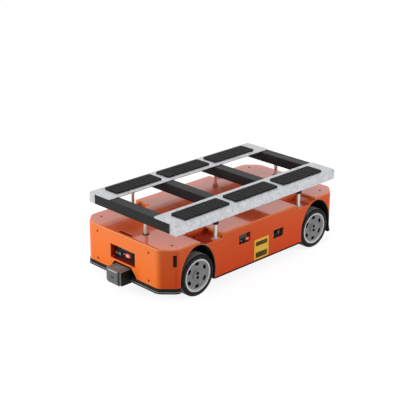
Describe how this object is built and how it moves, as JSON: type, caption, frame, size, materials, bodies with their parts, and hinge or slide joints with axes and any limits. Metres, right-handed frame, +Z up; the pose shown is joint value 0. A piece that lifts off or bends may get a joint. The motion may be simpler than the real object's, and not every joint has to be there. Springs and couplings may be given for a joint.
{
  "type": "lifting shuttle robot",
  "caption": "Low orange wheeled shuttle robot with rounded body, front scanner, control recesses and a raised lift frame on chrome posts for carrying a load.",
  "frame": {"origin": "middle of the footprint, on the floor", "axes": "+X forward towards the scanner, +Y to the robot's left, +Z up"},
  "size_m": [1.262, 0.6168, 0.392],
  "materials": {
    "orange_paint": "gloss",
    "black_steel": "satin",
    "grey_steel": "satin",
    "zinc_steel": "satin",
    "chrome": "polished",
    "rubber": "matte",
    "tyre": "matte",
    "hub_grey": "satin",
    "black_plastic": "matte",
    "scanner_shell": "matte",
    "scanner_face": "satin",
    "display_face": "gloss",
    "red_button": "gloss",
    "lamp_white": "gloss",
    "lens_dark": "gloss",
    "yellow_paint": "gloss",
    "dark_screw": "satin",
    "battery_case": "matte",
    "aluminium": "satin",
    "socket_metal": "satin"
  },
  "bodies": {
    "chassis": {"floor_pan": "black_steel", "chassis_plate_left": "grey_steel", "chassis_plate_right": "grey_steel", "bulkheads": "grey_steel", "front_cover": "orange_paint", "rear_cover": "orange_paint", "side_panel_left": "orange_paint", "side_panel_right": "orange_paint", "deck_cover": "orange_paint", "front_bumper": "rubber", "rear_bumper": "rubber", "axle_bearings": "grey_steel", "battery_pack": "battery_case", "control_unit": "aluminium", "guide_bushes": "orange_paint", "bush_bolts": "zinc_steel", "lift_cylinders": "aluminium", "rod_seals": "rubber", "front_panel": "black_plastic", "panel_displays": "display_face", "panel_sockets": "socket_metal", "indicator_lamps": "lamp_white", "display_panel": "black_plastic", "switch_panel": "black_plastic", "side_plate": "yellow_paint", "corner_lenses": "lens_dark", "cover_screws": "dark_screw", "scanner_housing": "scanner_shell", "scanner_window": "scanner_face", "scanner_bracket": "black_steel", "wheel_liner_fl": "black_plastic", "drive_motor_fl": "aluminium", "wheel_liner_fr": "black_plastic", "drive_motor_fr": "aluminium", "wheel_liner_rl": "black_plastic", "drive_motor_rl": "aluminium", "wheel_liner_rr": "black_plastic", "drive_motor_rr": "aluminium"},
    "wheel_fl": {"tyre_fl": "tyre", "wheel_hub_fl": "hub_grey", "axle_fl": "grey_steel"},
    "wheel_fr": {"tyre_fr": "tyre", "wheel_hub_fr": "hub_grey", "axle_fr": "grey_steel"},
    "wheel_rl": {"tyre_rl": "tyre", "wheel_hub_rl": "hub_grey", "axle_rl": "grey_steel"},
    "wheel_rr": {"tyre_rr": "tyre", "wheel_hub_rr": "hub_grey", "axle_rr": "grey_steel"},
    "lift": {"guide_posts": "chrome", "post_collars": "black_steel", "lift_rods": "chrome", "lift_rails": "zinc_steel", "cross_beams": "black_steel", "load_plates": "zinc_steel", "load_pads": "rubber"},
    "front_button": {"front_button": "red_button"},
    "side_button": {"side_button": "red_button"},
    "switch_knob": {"switch_knob": "scanner_shell"}
  },
  "joints": [
    {"name": "wheel_fl_spin", "type": "hinge", "parent": "chassis", "child": "wheel_fl", "pos_m": [0.371, 0.2705, 0.102], "axis": [0, 1, 0], "continuous": true},
    {"name": "wheel_fr_spin", "type": "hinge", "parent": "chassis", "child": "wheel_fr", "pos_m": [0.371, -0.2705, 0.102], "axis": [0, 1, 0], "continuous": true},
    {"name": "wheel_rl_spin", "type": "hinge", "parent": "chassis", "child": "wheel_rl", "pos_m": [-0.449, 0.2705, 0.102], "axis": [0, 1, 0], "continuous": true},
    {"name": "wheel_rr_spin", "type": "hinge", "parent": "chassis", "child": "wheel_rr", "pos_m": [-0.449, -0.2705, 0.102], "axis": [0, 1, 0], "continuous": true},
    {"name": "lift_slide", "type": "slide", "parent": "chassis", "child": "lift", "axis": [0, 0, 1], "range_m": [-0.055, 0]},
    {"name": "front_button_push", "type": "slide", "parent": "chassis", "child": "front_button", "axis": [1, 0, 0], "range_m": [-0.002, 0], "stiffness_N_per_m": 500},
    {"name": "side_button_push", "type": "slide", "parent": "chassis", "child": "side_button", "axis": [0, 1, 0], "range_m": [-0.002, 0], "stiffness_N_per_m": 500},
    {"name": "switch_turn", "type": "hinge", "parent": "chassis", "child": "switch_knob", "pos_m": [-0.17, 0.2975, 0.158], "axis": [0, 1, 0], "range_deg": [0, 90]}
  ]
}
